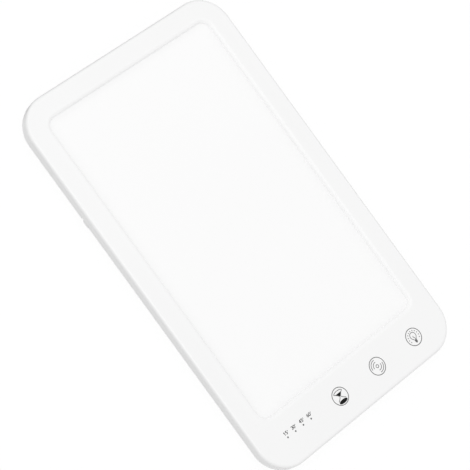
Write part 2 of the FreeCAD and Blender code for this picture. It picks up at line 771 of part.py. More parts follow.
def build_components():
    """The touch controller, the driver's inductor and its filter capacitor, under the board."""
    chip = "keyMiddle - chipFromKey"
    controller = block("touch_controller", f"{chip} - chipLong / 2", f"{chip} + chipLong / 2",
                       "keyY - chipWide / 2", "keyY + chipWide / 2", "boardBack - chipTall", "boardBack")
    x = "keyMiddle + coilFromKey"
    y = "keyY + coilFromKey"
    foot = "boardBack - coilFlange"
    head = "boardBack - coilTall"
    coil = join("driver_inductor",
                block("CoilFoot", f"{x} - coilRadius", f"{x} + coilRadius", f"{y} - coilRadius",
                      f"{y} + coilRadius", foot, "boardBack"),
                rod("CoilWaist", "coilWaist", f"{head} + coilFlange", foot, x, y),
                rod("CoilHead", "coilRadius", head, f"{head} + coilFlange", x, y))
    middle = "boardRight - canFromEnd"
    rim = "canRadius + partGap"
    can = join("filter_capacitor",
               block("CanFoot", f"{middle} - ({rim})", f"{middle} + {rim}", f"keyY - ({rim})",
                     f"keyY + {rim}", "boardBack - canFoot", "boardBack"),
               rod("CanBody", "canRadius", "boardBack - canTall", "boardBack - canFoot", middle, "keyY"))
    return [controller, coil, can]


# ---------------------------------------------------------------- power inlet
def build_inlet():
    """The round power socket's housing, and its contacts."""
    shell = block("JackShell", "jackBack", "jackFront", "jackY - jackWide / 2", "jackY + jackWide / 2",
                  "jackZ - jackTall / 2", "jackZ + jackTall / 2")
    snout = rod_along_x("JackSnout", "snoutRadius", "jackFront - runOver", "snoutTip", "jackY", "jackZ")
    whole = join("JackWhole", shell, snout)
    socket = rod_along_x("JackSocket", "socketRadius", "snoutTip - socketDeep", "snoutTip + runOver", "jackY",
                         "jackZ")
    seat = rod_along_x("JackPinSeat", "contactRadius + pilotGap", "jackBack - runOver", "snoutTip", "jackY",
                       "jackZ")
    housing = carve("jack_housing", whole, socket, seat)
    root = "jackBack - linkThick"
    tip = "boardRight - tabLap"
    height = ("boardBack - tabThick", "boardBack")
    near = "jackY + jackWide / 4"
    far = "jackY - jackWide / 4"
    pin = rod_along_x("JackPin", "contactRadius", root, "snoutTip - contactSink", "jackY", "jackZ")
    link = block("JackLink", root, "jackBack", "jackY - contactRadius", f"{near} + tabWide / 2",
                 "jackZ - contactRadius", "boardBack")
    tab = block("JackTab", tip, "jackBack", f"{near} - tabWide / 2", f"{near} + tabWide / 2", *height)
    core = join("jack_centre_contact", pin, link, tab)
    outer = block("jack_outer_contact", tip, "jackBack", f"{far} - tabWide / 2", f"{far} + tabWide / 2",
                  *height)
    return [housing, core, outer]


# ---------------------------------------------------------------- folding stand
def build_stand():
    """The U-shaped stand with its hinge knuckles, its grip, the pins and the washers."""
    body = new_body("stand_frame")
    plan = outline(sketch_on(body, "StandPlan", "backLevel"), [
        ("-armOutside", "standLow", "barCorner"), ("armOutside", "standLow", "barCorner"),
        ("armOutside", "armEnd", "0"), ("armInside", "armEnd", "armTipRound"),
        ("armInside", "barTop", "barInnerCorner"), ("-armInside", "barTop", "barInnerCorner"),
        ("-armInside", "armEnd", "armTipRound"), ("-armOutside", "armEnd", "0"),
    ])
    pad(body, plan, "standThick")
    nose = "hingeY + knuckleRadius"
    for side, flip in SIDES:
        knuckle = [("knuckleInside", "knuckleLow", "0"), ("knuckleOutside", "knuckleLow", "0"),
                   ("knuckleOutside", nose, "0"), ("knuckleInside", nose, "0")]
        gusset = [("knuckleInside", "gussetLow", "0"), ("armOutside", "gussetLow", "0"),
                  ("armOutside", "knuckleLow + runOver", "0"), ("knuckleInside", "knuckleLow + runOver", "0")]
        pad(body, outline(sketch_on(body, "Knuckle" + side, "backLevel"), flip(knuckle)), "2 * knuckleRadius")
        pad(body, outline(sketch_on(body, "Gusset" + side, "backLevel"), flip(gusset)), "2 * knuckleRadius")
    front = number(f"{nose} - hairGap")
    wide = number("knuckleRadius")
    dress_edges(body, "KnuckleNose", "Fillet", "knuckleRadius - hairGap",
                lambda box: box.YMin > front and box.XLength > wide)
    heel = number("knuckleLow")
    on_top = at_height("backLevel + 2 * knuckleRadius")
    beside = number("armOutside - hairGap")
    dress_edges(body, "KnuckleHeel", "Fillet", "knuckleHeel",
                lambda box: on_top(box) and abs(box.YMax - heel) < 1e-4 and box.YLength < 1e-4
                and min(abs(box.XMin), abs(box.XMax)) > beside)
    end = number("knuckleOutside - hairGap")
    dress_edges(body, "KnuckleDome", "Fillet", "knuckleDome",
                lambda box: min(abs(box.XMin), abs(box.XMax)) > end)
    middle = "backLevel + (standThick - gripTongueThick) / 2"
    half = "gripWidth / 2 - gripTongueEnd"
    slot = rectangle(sketch_on(body, "GripSlot", middle), f"-({half} + partGap)", f"{half} + partGap",
                     "standLow - runOver", "standLow + gripTongue + partGap")
    cut(body, slot, "gripTongueThick")
    for side, flip in SIDES:
        inside = "-(knuckleInside - runOver)" if side == "Left" else "knuckleInside - runOver"
        bore = circle(sketch_on(body, "KnuckleBore" + side, inside, "YZ_Plane"), "hingeY", "hingeZ",
                      "pinRadius + pinGap")
        cut(body, bore, "boreEnd - knuckleInside + runOver", reverse=side == "Right")
    grip = new_body("stand_grip")
    edge = rectangle(sketch_on(grip, "GripStrip", "backLevel + (standThick - gripThick) / 2"),
                     "-gripWidth / 2", "gripWidth / 2", "gripLow", "standLow", "gripRound")
    pad(grip, edge, "gripThick")
    tongue = rectangle(sketch_on(grip, "GripTongue", middle), f"-({half})", half, "standLow - runOver",
                       "standLow + gripTongue")
    pad(grip, tongue, "gripTongueThick")
    return [body, grip] + build_hinge()


def build_hinge():
    """A pin through each knuckle into its lug, and a washer between the two."""
    pins = []
    washers = []
    for side, sign in (("Left", "-"), ("Right", "")):
        ends = sorted((f"{sign}(pinTip - pinLong)", f"{sign}pinTip"), key=number)
        faces = sorted((f"{sign}(lugFace + partGap / 2)", f"{sign}(lugFace + partGap / 2 + washerThick)"),
                       key=number)
        pins.append(rod_along_x("Pin" + side, "pinRadius", *ends, "hingeY", "hingeZ"))
        disc = rod_along_x("WasherDisc" + side, "washerRadius", *faces, "hingeY", "hingeZ")
        hole = rod_along_x("WasherHole" + side, "pinRadius + partGap", f"{faces[0]} - runOver",
                           f"{faces[1]} + runOver", "hingeY", "hingeZ")
        washers.append(carve("Washer" + side, disc, hole))
    groups = []
    for label, items in (("hinge_pins", pins), ("hinge_washers", washers)):
        group = doc.addObject("Part::Compound", label)
        group.Links = items
        groups.append(group)
    return groups


# ---------------------------------------------------------------- fastenings and feet
def screw(name, label):
    """A pan-head screw, head down, with a cross recess; the seat of its head is at the origin."""
    blank = join(label + "Blank", rod(label + "Head", name + "HeadRadius", f"-{name}HeadTall", "0"),
                 rod(label + "Shank", name + "ScrewRadius", "0", name + "ScrewLong"))
    long = f"{name}RecessLong / 2"
    wide = "recessWide / 2"
    deep = (f"-{name}HeadTall - runOver", f"-{name}HeadTall + {name}RecessDeep")
    slots = [block(label + "SlotX", f"-{long}", long, f"-{wide}", wide, *deep),
             block(label + "SlotY", f"-{wide}", wide, f"-{long}", long, *deep)]
    return carve(label + "Master", blank, *slots)


def build_fastenings():
    """Casing screws, board screws and the four rubber feet."""
    case_spots = [(x, y, "counterboreTop") for x, y in CASE_SCREWS]
    case_set = set_of("case_screws", screw("case", "CaseScrew"), case_spots)
    board_spots = [(x, y, "boardBack") for x, y in BOARD_SCREWS]
    board_set = set_of("board_screws", screw("board", "BoardScrew"), board_spots)
    foot = rod("FootMaster", "footRadius", "0", "footStand + footSink")
    feet = set_of("rubber_feet", foot, [(x, y, "0") for x, y in FEET])
    return [case_set, board_set, feet]


nodes = [build_front_frame(), build_back_cover()]
nodes += build_optics()
nodes += build_light_strips()
nodes += build_board()
nodes += build_inlet()
nodes += build_stand()
nodes += build_fastenings()
doc.recompute()

for item in doc.Objects:
    if "Invalid" in item.State or "Error" in item.State:
        raise RuntimeError(f"{item.Label} did not recompute")
for node in nodes:
    if node.Shape.isNull() or not node.Shape.isValid():
        raise RuntimeError(f"{node.Label} has no sound shape")
for node in nodes:
    node.Shape.exportStep(f"parts/{node.Label}.step")
    print(f"{node.Label:22s} solids {len(node.Shape.Solids):3d}  volume {node.Shape.Volume:10.1f} mm3")
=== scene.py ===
import math
import bmesh
import bpy
import numpy as np
from mathutils import Matrix, Vector


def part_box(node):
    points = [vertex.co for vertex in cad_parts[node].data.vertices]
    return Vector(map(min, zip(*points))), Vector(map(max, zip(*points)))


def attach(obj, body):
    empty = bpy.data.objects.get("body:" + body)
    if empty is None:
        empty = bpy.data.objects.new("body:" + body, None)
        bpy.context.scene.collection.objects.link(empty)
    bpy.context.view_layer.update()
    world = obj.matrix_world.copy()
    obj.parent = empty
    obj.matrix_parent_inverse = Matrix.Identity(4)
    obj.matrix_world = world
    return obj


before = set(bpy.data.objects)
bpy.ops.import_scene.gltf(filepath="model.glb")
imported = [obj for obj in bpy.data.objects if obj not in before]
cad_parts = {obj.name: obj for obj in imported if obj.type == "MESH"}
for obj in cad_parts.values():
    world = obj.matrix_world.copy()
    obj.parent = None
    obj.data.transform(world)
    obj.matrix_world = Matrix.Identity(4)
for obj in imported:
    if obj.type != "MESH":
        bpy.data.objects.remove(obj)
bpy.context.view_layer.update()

mm = 0.001
caseLow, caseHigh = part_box("front_frame")
faceLevel = caseHigh.z


# The camera looks down on the lit face from the lamp's left side.
cameraSettings = {
    "aim": (-7.345, -0.838),           # point of the face at the middle of the frame, mm
    "distance": 1163.6,                # from the aim to the lens, mm
    "heading": 179.867,                # degrees from +X to the camera, round +Z
    "height": 60.903,                  # degrees above the face
    "roll": 54.138,                    # degrees that the picture is turned
    "lens": 157.63,                    # mm
    "sensor": 36.0,                    # its width, mm
    "nearest": 0.05,                   # m
    "farthest": 20.0,                  # m
}


# An object in the scene for a mesh, a light or the camera.
def newObject(name, data):
    thing = bpy.data.objects.new(name, data)
    bpy.context.scene.collection.objects.link(thing)
    return thing


# The camera's axes: back points from the aim to the lens, level lies flat, and the roll turns right
# and up round back.
def makeCamera(settings):
    heading = math.radians(settings["heading"])
    height = math.radians(settings["height"])
    roll = math.radians(settings["roll"])
    flat = math.cos(height)
    back = Vector((flat * math.cos(heading), flat * math.sin(heading), math.sin(height)))
    level = Vector((0, 0, 1)).cross(back).normalized()
    rise = back.cross(level)
    right = level * math.cos(roll) + rise * math.sin(roll)
    up = back.cross(right)
    data = bpy.data.cameras.new("camera")
    data.sensor_width = settings["sensor"]
    data.lens = settings["lens"]
    data.clip_start = settings["nearest"]
    data.clip_end = settings["farthest"]
    turn = Matrix((right, up, back)).transposed().to_4x4()
    aim = Vector((settings["aim"][0] * mm, settings["aim"][1] * mm, faceLevel))
    place = aim + back * settings["distance"] * mm
    camera = newObject("camera", data)
    camera.matrix_world = Matrix.Translation(place) @ turn
    bpy.context.scene.camera = camera


makeCamera(cameraSettings)
print("camera in place")


# One shader node. An input is a plain value, or a pair of another node and the name of its output.
def addNode(tree, kind, inputs=None, **settings):
    node = tree.nodes.new(kind)
    for name, value in settings.items():
        setattr(node, name, value)
    for name, value in (inputs or {}).items():
        if isinstance(value, tuple) and isinstance(value[0], bpy.types.Node):
            tree.links.new(value[0].outputs[value[1]], node.inputs[name])
        else:
            node.inputs[name].default_value = value
    return node


# A sum, product or other operation on one or two values.
def addMath(tree, operation, first, second=0.0, clamp=False):
    return addNode(tree, "ShaderNodeMath", {0: first, 1: second}, operation=operation, use_clamp=clamp)


# The same for vectors.
def addVector(tree, operation, inputs):
    return addNode(tree, "ShaderNodeVectorMath", inputs, operation=operation)


# A value moved from one range to another.
def addRange(tree, value, source, target):
    return addNode(tree, "ShaderNodeMapRange", {
        "Value": value, "From Min": source[0], "From Max": source[1], "To Min": target[0],
        "To Max": target[1]})


# Two plain values mixed by a mask.
def addMix(tree, mask, first, second):
    return addNode(tree, "ShaderNodeMix", {"Factor": mask, 2: first, 3: second}, data_type="FLOAT")


# Two colours mixed by a mask.
def addBlend(tree, mask, first, second):
    return addNode(tree, "ShaderNodeMix", {"Factor": mask, 6: first, 7: second}, data_type="RGBA")


# Noise of a kind, whose features have a size in mm.
def addNoise(tree, place, size, kind):
    detail, roughness = patternSettings[kind]
    scale = addMath(tree, "DIVIDE", 1.0 / mm, size)
    return addNode(tree, "ShaderNodeTexNoise", {
        "Vector": place, "Scale": (scale, 0), "Detail": detail, "Roughness": roughness})


# A colour whose three parts are equal, or given, with full alpha.
def shade(*parts):
    red, green, blue = parts * 3 if len(parts) == 1 else parts
    return (red, green, blue, 1.0)


# A node group. An input is its name, kind and value, and an output its name and kind.
def newGroup(name, inputs, outputs):
    tree = bpy.data.node_groups.new(name, "ShaderNodeTree")
    for label, kind, value in inputs:
        socket = tree.interface.new_socket(label, in_out="INPUT", socket_type=kind)
        socket.default_value = value
    for label, kind in outputs:
        tree.interface.new_socket(label, in_out="OUTPUT", socket_type=kind)
    return tree, tree.nodes.new("NodeGroupInput"), tree.nodes.new("NodeGroupOutput")


# What the shared patterns are made with. A span is where a pattern's value starts and stops counting.
patternSettings = {
    "fineNoise": (2.0, 0.55),   # detail and roughness of each kind of noise
    "slowNoise": (3.0, 0.5),
    "patchNoise": (4.0, 0.6),
    "lineNoise": (3.0, 0.6),
    "noiseSpan": (0.3, 0.7),    # most of a noise lies between these
    "edgeRays": 4,              # looks that the edge mask takes at its neighbourhood
    "edgeTurn": (0.98, 0.75),   # cosine of the turn at which an edge counts as sharp
    "patchSpan": (0.35, 0.65),
    "patchLeast": 0.25,         # what is left of a rubbed edge between its patches
    "cellSpan": (0.0, 0.6),     # distance from a foam cell's middle, in cells
    "trackWide": 0.04,          # half a copper track's width, as a share of the finish's track size
}


# Moulded grain: fine noise for the height of the surface, and slow noise for the way its gloss and
# shade drift.
def buildMouldGrain():
    tree, given, result = newGroup("mouldGrain", [
        ("Grain size", "NodeSocketFloat", 0.3), ("Drift size", "NodeSocketFloat", 60.0)],
        [("Height", "NodeSocketFloat"), ("Drift", "NodeSocketFloat")])
    place = addNode(tree, "ShaderNodeTexCoord")
    fine = addNoise(tree, (place, "Object"), (given, "Grain size"), "fineNoise")
    slow = addNoise(tree, (place, "Object"), (given, "Drift size"), "slowNoise")
    drift = addRange(tree, (slow, "Fac"), patternSettings["noiseSpan"], (0.0, 1.0))
    tree.links.new(fine.outputs["Fac"], result.inputs["Height"])
    tree.links.new(drift.outputs[0], result.inputs["Drift"])
    return tree


# Handled edges: the mask is high where the surface turns sharply within the reach, broken up by noise.
def buildEdgeRub():
    tree, given, result = newGroup("edgeRub", [
        ("Reach", "NodeSocketFloat", 0.6), ("Patches", "NodeSocketFloat", 6.0)],
        [("Mask", "NodeSocketFloat")])
    reach = addMath(tree, "MULTIPLY", (given, "Reach"), mm)
    rounded = addNode(tree, "ShaderNodeBevel", {"Radius": (reach, 0)}, samples=patternSettings["edgeRays"])
    plain = addNode(tree, "ShaderNodeNewGeometry")
    alike = addVector(tree, "DOT_PRODUCT", {0: (rounded, "Normal"), 1: (plain, "Normal")})
    turned = addRange(tree, (alike, "Value"), patternSettings["edgeTurn"], (0.0, 1.0))
    place = addNode(tree, "ShaderNodeTexCoord")
    patches = addNoise(tree, (place, "Object"), (given, "Patches"), "patchNoise")
    broken = addRange(tree, (patches, "Fac"), patternSettings["patchSpan"],
                      (patternSettings["patchLeast"], 1.0))
    mask = addMath(tree, "MULTIPLY", (turned, 0), (broken, 0), clamp=True)
    tree.links.new(mask.outputs[0], result.inputs["Mask"])
    return tree


# Drawn lines: noise stretched along one axis of the piece, as rolling, grinding or turning leaves.
def buildDrawnLines():
    tree, given, result = newGroup("drawnLines", [
        ("Stretch", "NodeSocketVector", (1.0, 1.0, 1.0)), ("Line size", "NodeSocketFloat", 0.2)],
        [("Height", "NodeSocketFloat"), ("Streak", "NodeSocketFloat")])
    place = addNode(tree, "ShaderNodeTexCoord")
    stretched = addVector(tree, "MULTIPLY", {0: (place, "Object"), 1: (given, "Stretch")})
    lines = addNoise(tree, (stretched, 0), (given, "Line size"), "lineNoise")
    streak = addRange(tree, (lines, "Fac"), patternSettings["noiseSpan"], (0.0, 1.0))
    tree.links.new(lines.outputs["Fac"], result.inputs["Height"])
    tree.links.new(streak.outputs[0], result.inputs["Streak"])
    return tree


# Foam cells: round hollows of a cell pattern.
def buildFoamCells():
    tree, given, result = newGroup("foamCells", [("Cell size", "NodeSocketFloat", 0.5)],
                                   [("Height", "NodeSocketFloat"), ("Hollow", "NodeSocketFloat")])
    place = addNode(tree, "ShaderNodeTexCoord")
    cellScale = addMath(tree, "DIVIDE", 1.0 / mm, (given, "Cell size"))
    cells = addNode(tree, "ShaderNodeTexVoronoi", {"Vector": (place, "Object"), "Scale": (cellScale, 0)})
    hollow = addRange(tree, (cells, "Distance"), patternSettings["cellSpan"], (1.0, 0.0))
    tree.links.new(cells.outputs["Distance"], result.inputs["Height"])
    tree.links.new(hollow.outputs[0], result.inputs["Hollow"])
    return tree


# How far a point lies inside the window's edge, in mm: the distance to a box with round corners, seen
# from above. Half is half the window's size, less the corner's radius.
def buildWindowEdge():
    tree, given, result = newGroup("windowEdge", [
        ("Middle", "NodeSocketVector", (0.0, 0.0, 0.0)), ("Half", "NodeSocketVector", (50.0, 100.0, 0.0)),
        ("Corner", "NodeSocketFloat", 6.0)], [("Inside", "NodeSocketFloat")])
    place = addNode(tree, "ShaderNodeTexCoord")
    inMm = addVector(tree, "SCALE", {0: (place, "Object"), "Scale": 1.0 / mm})
    centred = addVector(tree, "SUBTRACT", {0: (inMm, 0), 1: (given, "Middle")})
    mirrored = addVector(tree, "ABSOLUTE", {0: (centred, 0)})
    beyond = addVector(tree, "SUBTRACT", {0: (mirrored, 0), 1: (given, "Half")})
    parts = addNode(tree, "ShaderNodeSeparateXYZ", {0: (beyond, 0)})
    outX = addMath(tree, "MAXIMUM", (parts, "X"), 0.0)
    outY = addMath(tree, "MAXIMUM", (parts, "Y"), 0.0)
    outer = addNode(tree, "ShaderNodeCombineXYZ", {"X": (outX, 0), "Y": (outY, 0)})
    reach = addVector(tree, "LENGTH", {0: (outer, 0)})
    nearest = addMath(tree, "MAXIMUM", (parts, "X"), (parts, "Y"))
    inner = addMath(tree, "MINIMUM", (nearest, 0), 0.0)
    outside = addMath(tree, "ADD", (reach, "Value"), (inner, 0))
    inside = addMath(tree, "SUBTRACT", (given, "Corner"), (outside, 0))
    tree.links.new(inside.outputs[0], result.inputs["Inside"])
    return tree


mouldGrain = buildMouldGrain()
edgeRub = buildEdgeRub()
windowEdge = buildWindowEdge()
drawnLines = buildDrawnLines()
foamCells = buildFoamCells()


# A group in a material, with values for its inputs. Here and below, an underscore stands for a space.
def useGroup(tree, group, **values):
    node = tree.nodes.new("ShaderNodeGroup")
    node.node_tree = group
    for name, value in values.items():
        node.inputs[name.replace("_", " ")].default_value = value
    return node


# A material with values for its shader's sockets.
def newMaterial(name, **sockets):
    material = bpy.data.materials.new(name)
    material.use_nodes = True
    tree = material.node_tree
    shader = tree.nodes["Principled BSDF"]
    for label, value in sockets.items():
        shader.inputs[label.replace("_", " ")].default_value = value
    return material, tree, shader


# The height of the surface, in mm from lowest to highest, turned into its normal.
def giveBump(tree, shader, height, depth):
    bump = addNode(tree, "ShaderNodeBump", {"Height": height, "Distance": depth * mm})
    tree.links.new(bump.outputs["Normal"], shader.inputs["Normal"])


# A blend of two colours, put on the surface.
def giveColour(tree, shader, colour):
    tree.links.new(colour.outputs[2], shader.inputs["Base Color"])


# The moulded grain with the finish's sizes.
def useGrain(tree, finish):
    return useGroup(tree, mouldGrain, Grain_size=finish["grain"], Drift_size=finish["drift"])


# The finish's two shades, mixed by a mask.
def addShades(tree, mask, finish):
    first, second = finish["shades"]
    return addBlend(tree, mask, shade(*first), shade(*second))


# The roughness between the finish's lowest and highest, spread by a mask.
def giveGloss(tree, shader, mask, finish):
    gloss = addRange(tree, mask, (0.0, 1.0), finish["roughness"])
    tree.links.new(gloss.outputs[0], shader.inputs["Roughness"])


# Moulded plastic: the shade and the gloss drift slowly, the surface has a fine grain, and its edges
# are rubbed smoother. A finish with lips gives the depth and length of a painted light that whitens
# the window's duller edge, standing in for the opal panel's light falling on it.
def mouldedPlastic(name, finish):
    material, tree, shader = newMaterial(name, IOR=1.5)
    grain = useGrain(tree, finish)
    rub = useGroup(tree, edgeRub, Reach=finish["edge"])
    colour = addShades(tree, (grain, "Drift"), finish)
    colour = addBlend(tree, (rub, "Mask"), (colour, 2), shade(*finish["rubbedShade"]))
    gloss = addRange(tree, (grain, "Drift"), (0.0, 1.0), finish["roughness"])
    gloss = addMix(tree, (rub, "Mask"), (gloss, 0), finish["rubbedRoughness"])
    # Painted light: the window's edge is whitened towards pure white, as if lit by the opal panel.
    if "paintedLipLight" in finish:
        lipLightMask = addFall(tree, useWindowEdge(tree), *finish["paintedLipLight"])
        colour = addBlend(tree, (lipLightMask, 0), (colour, 2), shade(1.0))
        gloss = addMix(tree, (lipLightMask, 0), (gloss, 0), finish["lipRoughness"])
    giveColour(tree, shader, colour)
    tree.links.new(gloss.outputs[0], shader.inputs["Roughness"])
    giveBump(tree, shader, (grain, "Height"), finish["depth"])
    return material


# White sheet: an even, faintly drifting white with a very fine satin surface.
def satinSheet(name, finish):
    material, tree, shader = newMaterial(name, IOR=1.49)
    grain = useGrain(tree, finish)
    giveColour(tree, shader, addShades(tree, (grain, "Drift"), finish))
    giveGloss(tree, shader, (grain, "Drift"), finish)
    giveBump(tree, shader, (grain, "Height"), finish["depth"])
    return material


windowSettings = {
    "lap": 2.6,                 # how far the panel reaches under the bezel, mm
    "corner": 6.0,              # radius of the window's corners
}


# The distance inside the window's edge, whose size is the opal panel's, less its lap.
def useWindowEdge(tree):
    low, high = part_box("diffuser_panel")
    middle = (low + high) / 2 / mm
    half = (high - low) / 2 / mm
    rim = windowSettings["lap"] + windowSettings["corner"]
    return useGroup(tree, windowEdge, Middle=middle, Half=half - Vector((rim, rim, 0.0)),
                    Corner=windowSettings["corner"])


# A share that falls off from the window's edge: the depth times e to the power of minus the distance
# over the length, both in mm. A length below zero makes it fall off outwards.
def addFall(tree, inside, depth, length):
    share = addMath(tree, "DIVIDE", (inside, "Inside"), -length)
    capped = addMath(tree, "MINIMUM", (share, 0), 0.0)
    fall = addMath(tree, "EXPONENT", (capped, 0))
    return addMath(tree, "MULTIPLY", (fall, 0), depth)


# Opal panel: like the satin sheet, and darker towards the window's edge, a painted shade beside the
# bezel's lip, for the lamp inside lighting it less there.
def opalPanel(name, finish):
    material, tree, shader = newMaterial(name, IOR=1.49)
    grain = useGrain(tree, finish)
    # Painted shade: the panel's colour darkens towards black near the window's edge.
    dark = addFall(tree, useWindowEdge(tree), *finish["rim"])
    body = addShades(tree, (grain, "Drift"), finish)
    giveColour(tree, shader, addBlend(tree, (dark, 0), (body, 2), shade(0.0)))
    giveGloss(tree, shader, (grain, "Drift"), finish)
    giveBump(tree, shader, (grain, "Height"), finish["depth"])
    return material


# Clear acrylic: it lets light through, and its shade and gloss drift slowly.
def clearAcrylic(name, finish):
    material, tree, shader = newMaterial(name, IOR=1.49, Transmission_Weight=finish["clear"])
    grain = useGrain(tree, finish)
    giveColour(tree, shader, addShades(tree, (grain, "Drift"), finish))
    giveGloss(tree, shader, (grain, "Drift"), finish)
    return material


# Bare metal: drawn lines set the shade, the gloss and the height, and edges are brighter.
def drawnMetal(name, finish):
    material, tree, shader = newMaterial(name, Metallic=1.0)
    lines = useGroup(tree, drawnLines, Stretch=finish["stretch"], Line_size=finish["line"])
    rub = useGroup(tree, edgeRub, Reach=finish["edge"])
    body = addShades(tree, (lines, "Streak"), finish)
    giveColour(tree, shader, addBlend(tree, (rub, "Mask"), (body, 2), shade(*finish["rubbedShade"])))
    giveGloss(tree, shader, (lines, "Streak"), finish)
    giveBump(tree, shader, (lines, "Height"), finish["depth"])
    return material


# Foam: the hollows of its cells are darker and stand lower.
def cellFoam(name, finish):
    material, tree, shader = newMaterial(name, Roughness=0.95)
    cells = useGroup(tree, foamCells, Cell_size=finish["cell"])
    giveColour(tree, shader, addShades(tree, (cells, "Hollow"), finish))
    giveBump(tree, shader, (cells, "Height"), finish["depth"])
    return material


# Diodes: the yellow of their phosphor drifts a little from one to the next, on a slightly uneven
# surface.
def diodeBody(name, finish):
    material, tree, shader = newMaterial(name, Roughness=0.35)
    grain = useGrain(tree, finish)
    giveColour(tree, shader, addShades(tree, (grain, "Drift"), finish))
    giveBump(tree, shader, (grain, "Height"), finish["depth"])
    return material


# Circuit board: a solder mask over copper tracks, which show as slightly lighter lines of another
# height.
def maskedBoard(name, finish):
    material, tree, shader = newMaterial(name, Roughness=0.3, Coat_Weight=0.2)
    place = addNode(tree, "ShaderNodeTexCoord")
    tracks = addNode(tree, "ShaderNodeTexBrick", {
        "Vector": (place, "Object"), "Scale": 1.0 / (finish["track"] * mm),
        "Mortar Size": patternSettings["trackWide"], "Color1": shade(*finish["shades"][0]),
        "Color2": shade(*finish["shades"][1]), "Mortar": shade(*finish["trackShade"])})
    tree.links.new(tracks.outputs["Color"], shader.inputs["Base Color"])
    giveBump(tree, shader, (tracks, "Fac"), finish["depth"])
    return material


